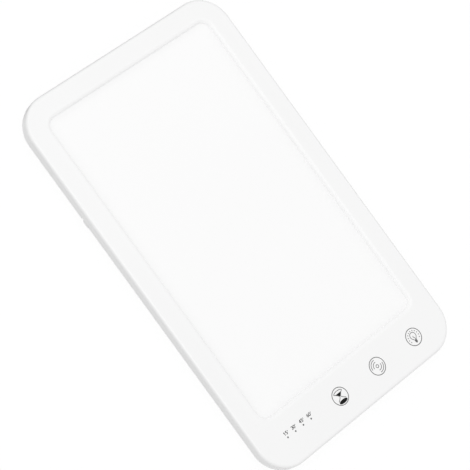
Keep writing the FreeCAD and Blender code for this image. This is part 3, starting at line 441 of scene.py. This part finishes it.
# The maker of each node's finish, and its values. A shade is a grey, or red, green and blue. Grain,
# drift, line, cell and track are sizes of the pattern, depth is its height, and edge is how far the
# rubbing of an edge reaches, all in mm. Stretch scales the lines' pattern, and below 1 draws it out.
finishes = {
    # The front frame's lighter rubbed edges are partly wear and partly a painted highlight.
    "front_frame": (mouldedPlastic, {
        "shades": [(0.925,), (0.937,)], "rubbedShade": (0.95,), "roughness": (0.27, 0.33),
        "rubbedRoughness": 0.22, "grain": 0.12, "drift": 90.0, "depth": 0.004, "edge": 0.5,
        # Painted light whitens the front frame's window edge.
        "paintedLipLight": (0.85, -1.0), "lipRoughness": 1.0}),
    "back_cover": (mouldedPlastic, {
        "shades": [(0.905,), (0.920,)], "rubbedShade": (0.930,), "roughness": (0.50, 0.58),
        "rubbedRoughness": 0.38, "grain": 0.35, "drift": 80.0, "depth": 0.02, "edge": 0.5}),
    # The opal panel's rim is the depth and length of its painted shade at the window's edge.
    "diffuser_panel": (opalPanel, {
        "shades": [(0.962,), (0.970,)], "roughness": (0.42, 0.48), "grain": 0.08, "drift": 120.0,
        "depth": 0.003, "rim": (0.075, 2.0)}),
    "diffusion_film": (satinSheet, {
        "shades": [(0.93,), (0.95,)], "roughness": (0.55, 0.65), "grain": 0.05, "drift": 60.0,
        "depth": 0.003}),
    "reflector_sheet": (satinSheet, {
        "shades": [(0.94,), (0.96,)], "roughness": (0.35, 0.42), "grain": 0.1, "drift": 70.0,
        "depth": 0.003}),
    "edge_tapes": (satinSheet, {
        "shades": [(0.86,), (0.90,)], "roughness": (0.6, 0.7), "grain": 0.4, "drift": 20.0,
        "depth": 0.02}),
    "light_guide_plate": (clearAcrylic, {
        "shades": [(0.95, 0.97, 0.97), (0.93, 0.96, 0.97)], "roughness": (0.02, 0.06), "clear": 1.0,
        "grain": 0.5, "drift": 50.0}),
    "timer_light_pipe": (mouldedPlastic, {
        "shades": [(0.15,), (0.19,)], "rubbedShade": (0.22,), "roughness": (0.2, 0.3),
        "rubbedRoughness": 0.2, "grain": 0.2, "drift": 3.0, "depth": 0.002, "edge": 0.1}),
    "heat_spreader": (drawnMetal, {
        "shades": [(0.62, 0.63, 0.65), (0.74, 0.75, 0.77)], "rubbedShade": (0.85, 0.86, 0.87),
        "stretch": (1.0, 0.03, 1.0), "line": 0.25, "roughness": (0.28, 0.42), "depth": 0.004,
        "edge": 0.3}),
    "filter_capacitor": (drawnMetal, {
        "shades": [(0.66, 0.67, 0.68), (0.76, 0.77, 0.78)], "rubbedShade": (0.86, 0.86, 0.87),
        "stretch": (1.0, 1.0, 0.1), "line": 0.2, "roughness": (0.2, 0.3), "depth": 0.002, "edge": 0.2}),
    "jack_centre_contact": (drawnMetal, {
        "shades": [(0.72, 0.56, 0.26), (0.82, 0.66, 0.34)], "rubbedShade": (0.9, 0.8, 0.5),
        "stretch": (0.1, 1.0, 1.0), "line": 0.1, "roughness": (0.18, 0.28), "depth": 0.001,
        "edge": 0.1}),
    "hinge_pins": (drawnMetal, {
        "shades": [(0.52, 0.52, 0.53), (0.66, 0.66, 0.67)], "rubbedShade": (0.8, 0.8, 0.8),
        "stretch": (1.0, 0.1, 0.1), "line": 0.08, "roughness": (0.16, 0.28), "depth": 0.001,
        "edge": 0.1}),
    "case_screws": (drawnMetal, {
        "shades": [(0.46, 0.46, 0.47), (0.62, 0.62, 0.63)], "rubbedShade": (0.75, 0.75, 0.75),
        "stretch": (1.0, 1.0, 0.2), "line": 0.15, "roughness": (0.24, 0.38), "depth": 0.003,
        "edge": 0.15}),
    "hinge_washers": (mouldedPlastic, {
        "shades": [(0.70, 0.69, 0.65), (0.76, 0.75, 0.70)], "rubbedShade": (0.82, 0.81, 0.78),
        "roughness": (0.35, 0.45), "rubbedRoughness": 0.25, "grain": 0.1, "drift": 4.0, "depth": 0.003,
        "edge": 0.1}),
    "rubber_feet": (mouldedPlastic, {
        "shades": [(0.52, 0.52, 0.53), (0.58, 0.58, 0.59)], "rubbedShade": (0.50, 0.50, 0.51),
        "roughness": (0.72, 0.85), "rubbedRoughness": 0.6, "grain": 0.25, "drift": 8.0, "depth": 0.02,
        "edge": 0.4}),
    "control_board": (maskedBoard, {
        "shades": [(0.02, 0.13, 0.06), (0.03, 0.17, 0.08)], "trackShade": (0.06, 0.26, 0.12),
        "track": 3.0, "depth": 0.02}),
    "light_strip_left": (satinSheet, {
        "shades": [(0.84, 0.84, 0.80), (0.88, 0.88, 0.85)], "roughness": (0.3, 0.4), "grain": 0.2,
        "drift": 20.0, "depth": 0.005}),
    "strip_diodes_left": (diodeBody, {
        "shades": [(0.92, 0.80, 0.34), (0.95, 0.85, 0.42)], "grain": 0.08, "drift": 2.0,
        "depth": 0.004}),
    "touch_controller": (mouldedPlastic, {
        "shades": [(0.020,), (0.030,)], "rubbedShade": (0.06,), "roughness": (0.5, 0.6),
        "rubbedRoughness": 0.4, "grain": 0.1, "drift": 5.0, "depth": 0.006, "edge": 0.15}),
    "foam_cushions": (cellFoam, {
        "shades": [(0.03,), (0.012,)], "cell": 0.6, "depth": 0.15}),
    "touch_pads": (cellFoam, {
        "shades": [(0.075, 0.075, 0.08), (0.03,)], "cell": 0.45, "depth": 0.1}),
}

# Nodes with the finish of another one.
sameFinish = {
    "stand_frame": "back_cover", "light_strip_right": "light_strip_left",
    "strip_diodes_right": "strip_diodes_left", "timer_lights": "strip_diodes_left",
    "timer_light_block": "touch_controller", "driver_inductor": "touch_controller",
    "jack_housing": "touch_controller", "jack_outer_contact": "jack_centre_contact",
    "board_screws": "case_screws", "stand_grip": "rubber_feet",
}

materials = {node: make(node, finish) for node, (make, finish) in finishes.items()}
for node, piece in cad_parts.items():
    piece.data.materials.clear()
    piece.data.materials.append(materials[sameFinish.get(node, node)])
print("finishes on", len(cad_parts), "nodes")


# The marks are printed on the face, with places and sizes in mm.
printSettings = {
    "ink": 0.02,                # thickness of the ink
    "inkStep": 0.003,           # by which neighbouring lines differ in it
    "inkLevels": 4,             # how many thicknesses there are
    "line": 0.46,               # width of the rings' line
    "fine": 0.40,               # width of the pictures' lines
    "keyRow": -109.3,           # middle of the keys
    "keys": (-13.5, 17.6, 48.75),
    "ring": 5.25,               # radius of a ring's line
    "ringSteps": 72,            # its points
    "greyInk": (0.13, 0.19),    # its darker and its lighter shade
    "blackInk": (0.001, 0.003),
    "inkGrain": 0.15,
}


# A slab between two edge lines, from a low to a high level. Each row of its grid holds the left and
# right edge above, then the right and left edge below.
def slab(left, right, closed, low, high):
    count = len(left)
    above = np.full(count, high)
    below = np.full(count, low)
    rows = np.stack([
        np.column_stack([left, above]), np.column_stack([right, above]),
        np.column_stack([right, below]), np.column_stack([left, below])], axis=1)
    here = np.arange(count if closed else count - 1)
    after = (here + 1) % count
    side = np.arange(4)
    ahead = (side + 1) % 4
    faces = np.stack([
        here[:, None] * 4 + side, here[:, None] * 4 + ahead, after[:, None] * 4 + ahead,
        after[:, None] * 4 + side], axis=-1).reshape(-1, 4)
    if not closed:
        ends = np.array([[3, 2, 1, 0], (count - 1) * 4 + side])
        faces = np.vstack([faces, ends])
    return rows.reshape(-1, 3), faces


# A line of even width: each point moves half the width to both sides, square to the way the line runs.
def stroke(points, width, closed=False):
    if closed:
        along = np.roll(points, -1, axis=0) - np.roll(points, 1, axis=0)
    else:
        along = np.gradient(points, axis=0)
    along /= np.linalg.norm(along, axis=1, keepdims=True)
    aside = np.column_stack([-along[:, 1], along[:, 0]]) * width / 2
    return points + aside, points - aside, closed


# Points of an arc: its centre plus the radius times the cosine and sine of each angle.
def arcPoints(centre, radius, start, end, count):
    angle = np.radians(np.linspace(start, end, count))
    return np.column_stack([centre[0] + radius * np.cos(angle), centre[1] + radius * np.sin(angle)])


# An arc from 0 to 360 degrees, without its last point, which is the first one.
def ringPoints(centre, radius, count):
    return arcPoints(centre, radius, 0.0, 360.0, count + 1)[:-1]


# One mesh of several slabs, in mm: each part is a slab's two edge lines, whether they are closed, and
# its lowest and highest level.
def slabPiece(name, parts):
    verts = []
    faces = []
    total = 0
    for part in parts:
        points, quads = slab(*part)
        verts.append(points)
        faces.append(quads + total)
        total += len(points)
    mesh = bpy.data.meshes.new(name)
    mesh.from_pydata((np.vstack(verts) * mm).tolist(), [], np.vstack(faces).tolist())
    work = bmesh.new()
    work.from_mesh(mesh)
    bmesh.ops.recalc_face_normals(work, faces=work.faces)
    work.to_mesh(mesh)
    work.free()
    return newObject(name, mesh)


# The piece's material, and the body that it rides on.
def dressPiece(piece, material, body):
    piece.data.materials.append(material)
    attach(piece, body)
    print("made", piece.name)


hourglassSettings = {
    "half": 3.2,                # half the glass's width at its shoulders
    "shoulder": 2.5,            # their height above the neck
    "neck": 0.3,                # half the neck's width
    "lid": (2.2, 1.4, 0.92),    # foot and rise of the lid's oval, and the share of it that is used
    "upperBend": 0.7,           # power of the way down by which the upper wall narrows
    "foot": (2.6, 2.4, 1.4),    # reach and drop of the lower wall from the neck, and its power
    "sand": (2.0, 0.15),        # half the sand's width above, at its top and its bottom
    "sandLevels": (2.1, 0.1),
    "mound": (3.0, -3.3, 0.96),     # half the mound's width, its middle, and the share of its ovals
    "moundBulge": (1.1, 1.2),   # how far it bulges up and down
    "steps": (15, 10, 21),      # points of the lid, of a wall and of the mound
}


# The lid and the mound follow an oval, a rise times the root of 1 less a share of the width squared.
# The walls narrow to the neck and widen again by a power of the way down.
def hourglassSlabs(settings, x, y):
    half = settings["half"]
    neck = settings["neck"]
    shoulder = settings["shoulder"]
    lidSteps, wallSteps, moundSteps = settings["steps"]
    width = np.linspace(-1.0, 1.0, lidSteps)
    foot, rise, share = settings["lid"]
    lines = [np.column_stack([half * width, foot + rise * np.sqrt(1.0 - share * width ** 2)])]
    down = np.linspace(0.0, 1.0, wallSteps)
    inward = half - (half - neck) * down ** settings["upperBend"]
    reach, drop, bend = settings["foot"]
    outward = neck + reach * down ** bend
    upperWall = np.column_stack([inward, shoulder * (1.0 - down)])
    lowerWall = np.column_stack([outward, -drop * down])
    lines += [upperWall * (-1.0, 1.0), upperWall, lowerWall * (-1.0, 1.0), lowerWall]
    sandHalf = np.linspace(*settings["sand"], wallSteps)
    sandHeight = np.linspace(*settings["sandLevels"], wallSteps)
    across = np.linspace(-1.0, 1.0, moundSteps)
    moundHalf, middle, share = settings["mound"]
    bulge = np.sqrt(1.0 - share * across ** 2)
    up, low = settings["moundBulge"]
    sand = [
        (np.column_stack([-sandHalf, sandHeight]), np.column_stack([sandHalf, sandHeight])),
        (np.column_stack([moundHalf * across, middle + up * bulge]),
         np.column_stack([moundHalf * across, middle - low * bulge]))]
    place = (x, y)
    return ([stroke(points + place, printSettings["fine"]) for points in lines],
            [(left + place, right + place, False) for left, right in sand])


waveSettings = {
    "dot": 0.9,                 # radius of the ring in the middle
    "turn": 135.0,              # direction of the left arcs, in degrees
    "arcs": ((2.6, 53.0), (4.0, 49.0)),     # radius of each pair, and its spread to both sides in degrees
    "steps": (28, 18),          # points of the ring and of an arc
}


# A small ring between pairs of arcs of circles round it, which open to both sides.
def waveSlabs(settings, x, y):
    fine = printSettings["fine"]
    ringSteps, arcSteps = settings["steps"]
    slabs = [stroke(ringPoints((x, y), settings["dot"], ringSteps), fine, True)]
    for radius, spread in settings["arcs"]:
        for side in (0.0, 180.0):
            middle = settings["turn"] + side
            arc = arcPoints((x, y), radius, middle - spread, middle + spread, arcSteps)
            slabs.append(stroke(arc, fine))
    return slabs


bulbSettings = {
    "glass": 2.1,               # radius of the glass
    "glassRise": 0.7,           # its middle above the middle of the key
    "glassEnds": (-32.0, 212.0),    # where its arc starts and stops, in degrees
    "neck": (0.7, -1.8),        # half the neck's width at the socket, and the socket's top
    "socket": (0.8, -3.2),      # half the socket's width, and the level where it starts to narrow
    "tip": (0.3, -3.9),         # half the tip's width, and its level
    "filament": (0.35, -1.7, 2.4),      # how far the wire swings, its foot and its height
    "ray": (3.8, 4.5, 0.55),    # radius of the rays' middles, half their width in degrees, their length
    "rays": (-30.0, 210.0, 11),     # directions of the first and last ray, and how many there are
    "steps": (36, 6, 9, 3),     # points of the glass, of the neck, of the filament and of a ray
}


# The glass is an arc, the neck two straight lines from its ends, and the filament one turn of a sine.
# The rays are short arcs of a circle round the key's middle, as wide as a ray is long.
def bulbSlabs(settings, x, y):
    glassSteps, neckSteps, wireSteps, raySteps = settings["steps"]
    middle = (x, y + settings["glassRise"])
    glass = arcPoints(middle, settings["glass"], *settings["glassEnds"], glassSteps)
    neckHalf, top = settings["neck"]
    left = np.linspace(glass[-1], (x - neckHalf, y + top), neckSteps)
    right = np.linspace(glass[0], (x + neckHalf, y + top), neckSteps)
    half, shoulder = settings["socket"]
    tipHalf, tip = settings["tip"]
    side = np.array([(half, top), (half, shoulder), (tipHalf, tip)])
    socket = (side * (-1.0, 1.0) + (x, y), side + (x, y), False)
    swing, foot, height = settings["filament"]
    way = np.linspace(0.0, 1.0, wireSteps)
    filament = np.column_stack([x + swing * np.sin(way * 2 * np.pi), y + foot + height * way])
    slabs = [stroke(points, printSettings["fine"]) for points in (glass, left, right, filament)]
    slabs.append(socket)
    radius, spread, length = settings["ray"]
    for angle in np.linspace(*settings["rays"]):
        ray = arcPoints((x, y), radius, angle - spread, angle + spread, raySteps)
        slabs.append(stroke(ray, length))
    return slabs


minuteSettings = {
    "wide": 1.08,               # a digit's width and height, between the middles of its lines
    "tall": 1.72,
    "line": 0.36,               # width of the lines
    "step": 1.46,               # from one digit to the next
    "row": -106.2,              # middle of the digits
    "marks": (("15'", -56.6), ("30'", -50.6), ("45'", -44.2), ("60'", -38.15)),
    "steps": (4, 33),           # points of a line and of an oval
}

# Each digit is made of lines and ovals, in shares of its width and height from its lower left corner.
# A line is its two ends. An oval is its middle, its half width and half height, and the angles where
# it starts and stops.
digitCurves = {
    "0": ((0.5, 0.5, 0.5, 0.5, 0.0, 360.0),),
    "1": ((0.1, 0.8, 0.5, 0.98), (0.55, 1.1, 0.55, -0.1)),
    "3": ((0.45, 0.75, 0.45, 0.25, 150.0, -90.0), (0.45, 0.25, 0.5, 0.25, 90.0, -150.0)),
    "4": ((0.75, -0.1, 0.75, 1.1), (0.7, 1.0, 0.05, 0.34), (-0.08, 0.3, 1.05, 0.3)),
    "5": ((0.95, 1.0, 0.05, 1.0), (0.22, 1.0, 0.14, 0.48), (0.45, 0.31, 0.5, 0.31, 135.0, -140.0)),
    "6": ((0.5, 0.31, 0.5, 0.31, 0.0, 360.0), (1.0, 0.31, 1.0, 0.69, 180.0, 105.0)),
    "'": ((0.3, 1.0, 0.15, 0.65),),
}


# An oval's points: its middle plus the half sizes times the cosine and sine of each angle. A whole one
# is closed.
def digitSlabs(settings, figure, x, y):
    size = np.array([settings["wide"], settings["tall"]])
    lineSteps, ovalSteps = settings["steps"]
    slabs = []
    for curve in digitCurves[figure]:
        whole = curve[4:] == (0.0, 360.0)
        if len(curve) == 4:
            points = np.linspace(curve[:2], curve[2:], lineSteps)
        else:
            points = arcPoints((0.0, 0.0), 1.0, *curve[4:], ovalSteps) * curve[2:4] + curve[:2]
        points = (points[:-1] if whole else points) * size + (x, y)
        slabs.append(stroke(points, settings["line"], whole))
    return slabs


# The digits of one mark stand side by side, a step apart.
def markSlabs(settings, text, x):
    low = settings["row"] - settings["tall"] / 2
    slabs = []
    for place, figure in enumerate(text):
        slabs += digitSlabs(settings, figure, x + place * settings["step"], low)
    return slabs


# Ink: a matt colour between its darker and its lighter shade, as the grain goes.
def inkMaterial(name, dark, light):
    material, tree, shader = newMaterial(name, Roughness=0.6, Specular_IOR_Level=0.15)
    grain = useGroup(tree, mouldGrain, Grain_size=printSettings["inkGrain"])
    giveColour(tree, shader, addBlend(tree, (grain, "Height"), shade(dark), shade(light)))
    return material


# The ink of one print. Neighbours differ a little in height, so that where two lines touch, their tops
# don't lie in one plane.
def makePrint(name, slabs, ink):
    low = faceLevel / mm - printSettings["ink"] / 2
    high = faceLevel / mm + printSettings["ink"]
    parts = []
    for turn, edges in enumerate(slabs):
        level = turn % printSettings["inkLevels"]
        parts.append((*edges, low, high + level * printSettings["inkStep"]))
    dressPiece(slabPiece(name, parts), ink, "panel")


# The rings, the three pictures in them, and the minutes beside the timer's dots.
def makePrints():
    greyInk = inkMaterial("grey_ink", *printSettings["greyInk"])
    blackInk = inkMaterial("black_ink", *printSettings["blackInk"])
    row = printSettings["keyRow"]
    timerKey, wakeKey, lightKey = printSettings["keys"]
    rings = []
    for x in printSettings["keys"]:
        circle = ringPoints((x, row), printSettings["ring"], printSettings["ringSteps"])
        rings.append(stroke(circle, printSettings["line"], True))
    makePrint("key_rings_print", rings, greyInk)
    glass, sand = hourglassSlabs(hourglassSettings, timerKey, row)
    makePrint("hourglass_print", glass, greyInk)
    makePrint("hourglass_sand_print", sand, blackInk)
    makePrint("waves_print", waveSlabs(waveSettings, wakeKey, row), greyInk)
    makePrint("bulb_print", bulbSlabs(bulbSettings, lightKey, row), greyInk)
    marks = []
    for text, x in minuteSettings["marks"]:
        marks += markSlabs(minuteSettings, text, x)
    makePrint("minutes_print", marks, blackInk)


makePrints()


# The thin wall that closes the stand's bed inside the arms and below the bar, with its roof, in mm.
bedWallSettings = {
    "armEdge": 59.5,            # from the middle to the bed's edge inside the arms
    "armCorner": 5.7,           # radius of that edge's corners
    "armLow": -77.7,            # where it runs along the top of the bar
    "armEnd": 49.5,             # where it ends in the hinge lugs
    "barEdge": 71.1,            # from the middle to the bed's edge outside the arms
    "barCorner": 9.3,
    "barLow": -92.3,            # where it runs along the bottom of the bar
    "barEnd": -80.0,            # where it meets the wall outside the arms
    "gripEdge": 36.8,           # where it meets the wall of the grip's bed
    "thick": 0.88,
    "inset": 0.02,              # from the bed's edge to the wall's face
    "lap": 1.2,                 # how far the roof reaches over the bed
    "levels": (1.5, 4.15),      # the wall, from the cover's floor to the top of the bed's roof
    "roofLevels": (3.31, 4.12),
    "roofStart": 1.0,           # first point of half the roof over the bar
    "lugBlock": (58.6, 60.6, 49.12, 50.0),      # lowest and highest x and y of the block beside each lug
    "lugLevels": (1.45, 4.1),
    "cornerSteps": 13,
}


# The bed's edge round the arms' inner sides, moved into the cover by an offset: straight lines, and
# corners of a radius that the offset makes smaller.
def armLine(settings, offset):
    edge = settings["armEdge"] - offset
    radius = settings["armCorner"] - offset
    middle = settings["armEdge"] - settings["armCorner"]
    height = settings["armLow"] + settings["armCorner"]
    count = settings["cornerSteps"]
    right = arcPoints((middle, height), radius, 0.0, -90.0, count)
    left = arcPoints((-middle, height), radius, -90.0, -180.0, count)
    return np.vstack([[(edge, settings["armEnd"])], right, left, [(-edge, settings["armEnd"])]])


# The bed's edge below one half of the bar, from a start to past its corner, whose radius the offset
# makes larger.
def barLine(settings, offset, start):
    edge = settings["barEdge"] + offset
    radius = settings["barCorner"] + offset
    middle = settings["barEdge"] - settings["barCorner"]
    height = settings["barLow"] + settings["barCorner"]
    corner = arcPoints((middle, height), radius, -90.0, 0.0, settings["cornerSteps"])
    return np.vstack([[(start, settings["barLow"] - offset)], corner, [(edge, settings["barEnd"])]])


# The wall and its roof are strokes along the bed's edge, and a block closes the end at each hinge lug.
def bedWallSlabs(settings):
    mirror = (-1.0, 1.0)
    wallOffset = settings["inset"] + settings["thick"] / 2
    roofWide = settings["lap"] + wallOffset
    roofOffset = wallOffset - roofWide / 2
    barWall = barLine(settings, wallOffset, settings["gripEdge"])
    barRoof = barLine(settings, roofOffset, settings["roofStart"])
    walls = [armLine(settings, wallOffset), barWall, barWall * mirror]
    roofs = [armLine(settings, roofOffset), np.vstack([(barRoof * mirror)[::-1], barRoof])]
    parts = [(*stroke(line, settings["thick"]), *settings["levels"]) for line in walls]
    parts += [(*stroke(line, roofWide), *settings["roofLevels"]) for line in roofs]
    near, far, low, high = settings["lugBlock"]
    inner = np.array([(near, low), (near, high)])
    outer = np.array([(far, low), (far, high)])
    parts.append((inner, outer, False, *settings["lugLevels"]))
    parts.append((inner * mirror, outer * mirror, False, *settings["lugLevels"]))
    return parts


bedWall = slabPiece("stand_bed_wall", bedWallSlabs(bedWallSettings))
dressPiece(bedWall, materials["back_cover"], "panel")


floorSettings = {
    "radius": 0.6,              # m
    "sides": 96,
    "shades": [(0.89,), (0.90,)],
    "grain": 2.0,               # mm
    "drift": 300.0,             # mm
    "kept": 0.15,               # share of the floor's own shade in what the camera sees of it
    "glow": 0.16,               # lifts the open floor to the white background
}


# One where the ray comes from the camera, or was reflected or let through by a glossy or clear surface.
def seenDirectly(tree):
    path = addNode(tree, "ShaderNodeLightPath")
    either = addMath(tree, "MAXIMUM", (path, "Is Camera Ray"), (path, "Is Glossy Ray"))
    return addMath(tree, "MAXIMUM", (either, 0), (path, "Is Transmission Ray"))


# A flat piece of the stage, which isn't part of the lamp, and its matt paint.
def stagePiece(name, corners, faces, finish):
    mesh = bpy.data.meshes.new(name)
    mesh.from_pydata(corners, [], faces)
    material, tree, shader = newMaterial(name, Roughness=0.9)
    grain = useGrain(tree, finish)
    giveColour(tree, shader, addShades(tree, (grain, "Drift"), finish))
    mesh.materials.append(material)
    piece = newObject(name, mesh)
    return piece


# A disc: its rim is the radius times the cosine and sine of each angle. Light passes through it, so
# that the object is lit from below too, and from above the camera sees a share of its shade, with the
# object's shadow.
def makeFloor(settings):
    sides = settings["sides"]
    rim = np.column_stack([ringPoints((0.0, 0.0), settings["radius"], sides), np.zeros(sides)])
    floor = stagePiece("floor", rim.tolist(), [list(range(sides))], settings)
    tree = floor.active_material.node_tree
    shader = tree.nodes["Principled BSDF"]
    seen = seenDirectly(tree)
    shader.inputs["Emission Color"].default_value = shade(1.0)
    glow = addMath(tree, "MULTIPLY", (seen, 0), settings["glow"])
    tree.links.new(glow.outputs[0], shader.inputs["Emission Strength"])
    clear = addNode(tree, "ShaderNodeBsdfTransparent")
    side = addNode(tree, "ShaderNodeNewGeometry")
    above = addMath(tree, "SUBTRACT", 1.0, (side, "Backfacing"))
    kept = addMath(tree, "MULTIPLY", (above, 0), settings["kept"])
    solid = addMath(tree, "MULTIPLY", (seen, 0), (kept, 0))
    opening = addMath(tree, "SUBTRACT", 1.0, (solid, 0))
    surface = addNode(tree, "ShaderNodeMixShader", {
        0: (opening, 0), 1: (shader, "BSDF"), 2: (clear, "BSDF")})
    tree.links.new(surface.outputs[0], tree.nodes["Material Output"].inputs["Surface"])


cardSettings = {
    "shades": [(0.20,), (0.22,)],
    "grain": 1.0,               # mm
    "drift": 100.0,             # mm
    "drop": 5.0,                # mm under the floor
    "gap": 3.0,                 # mm from the case to the card, seen from above
    "wide": 120.0,              # mm
}


# A grey card beside the far long side and the top end, just under the see-through floor. It is a
# square corner of even width, and gives the white edges there something darker to reflect. The camera
# doesn't see it.
def makeCard(settings):
    wide = settings["wide"] * mm
    level = -settings["drop"] * mm
    nearX = caseHigh.x + settings["gap"] * mm
    nearY = caseHigh.y + settings["gap"] * mm
    farX = nearX + wide
    farY = nearY + wide
    corners = [(nearX, caseLow.y, level), (farX, caseLow.y, level), (farX, farY, level),
               (caseLow.x, farY, level), (caseLow.x, nearY, level), (nearX, nearY, level)]
    card = stagePiece("card", corners, [(0, 1, 2, 5), (5, 2, 3, 4)], settings)
    card.visible_camera = False


lightSettings = {
    "skyAbove": 0.742,          # strength above the horizon
    "skyBelow": 0.42,           # strength below it
    "skyBlend": 0.12,           # height over and under the horizon at which the two meet
    "skyUnder": 1.15,           # straight below, where it lights the back
    "underFrom": (-0.5, -0.85),     # height at which that starts and is full, as a share of straight down
    "boxSize": 1.2,             # side of the square lamp overhead, m
    "boxPlace": (0.06, 0.40, 1.5),      # m
    "boxPower": 4.2,            # W
    "sideTilt": 30.0,           # degrees that the side light leans from overhead
    "sideHeading": 178.0,       # degrees from +X to where it comes from
    "sideSpread": 20.0,         # degrees that it fills
    "sidePower": 0.38,          # W on each square metre
}


# A light at a place, turned to the middle of the floor.
def placeLight(data, place):
    lamp = newObject(data.name, data)
    lamp.matrix_world = Matrix.Translation(place) @ place.to_track_quat("Z", "Y").to_matrix().to_4x4()


# The sky goes from its lower to its upper strength round the horizon, and rises again towards straight
# down. Seen directly, it is the white background.
def makeSky(settings):
    world = bpy.data.worlds.new("studio")
    bpy.context.scene.world = world
    world.use_nodes = True
    tree = world.node_tree
    place = addNode(tree, "ShaderNodeTexCoord")
    parts = addNode(tree, "ShaderNodeSeparateXYZ", {0: (place, "Generated")})
    blend = settings["skyBlend"]
    below = settings["skyBelow"]
    horizon = addRange(tree, (parts, "Z"), (-blend, blend), (below, settings["skyAbove"]))
    under = addRange(tree, (parts, "Z"), settings["underFrom"], (0.0, settings["skyUnder"] - below))
    sky = addMath(tree, "ADD", (horizon, 0), (under, 0))
    strength = addMix(tree, (seenDirectly(tree), 0), (sky, 0), 1.0)
    tree.links.new(strength.outputs[0], tree.nodes["Background"].inputs["Strength"])
    tree.nodes["Background"].inputs["Color"].default_value = shade(1.0)


# The side light's direction leans from overhead by its tilt, towards its heading.
def makeLamps(settings):
    box = bpy.data.lights.new("soft_box", "AREA")
    box.shape = "SQUARE"
    box.size = settings["boxSize"]
    box.energy = settings["boxPower"]
    placeLight(box, Vector(settings["boxPlace"]))
    side = bpy.data.lights.new("side_light", "SUN")
    side.angle = math.radians(settings["sideSpread"])
    side.energy = settings["sidePower"]
    tilt = math.radians(settings["sideTilt"])
    heading = math.radians(settings["sideHeading"])
    lean = math.sin(tilt)
    placeLight(side, Vector((lean * math.cos(heading), lean * math.sin(heading), math.cos(tilt))))


makeFloor(floorSettings)
makeCard(cardSettings)
makeSky(lightSettings)
makeLamps(lightSettings)
bpy.context.scene.view_settings.view_transform = "Standard"
print("studio ready")
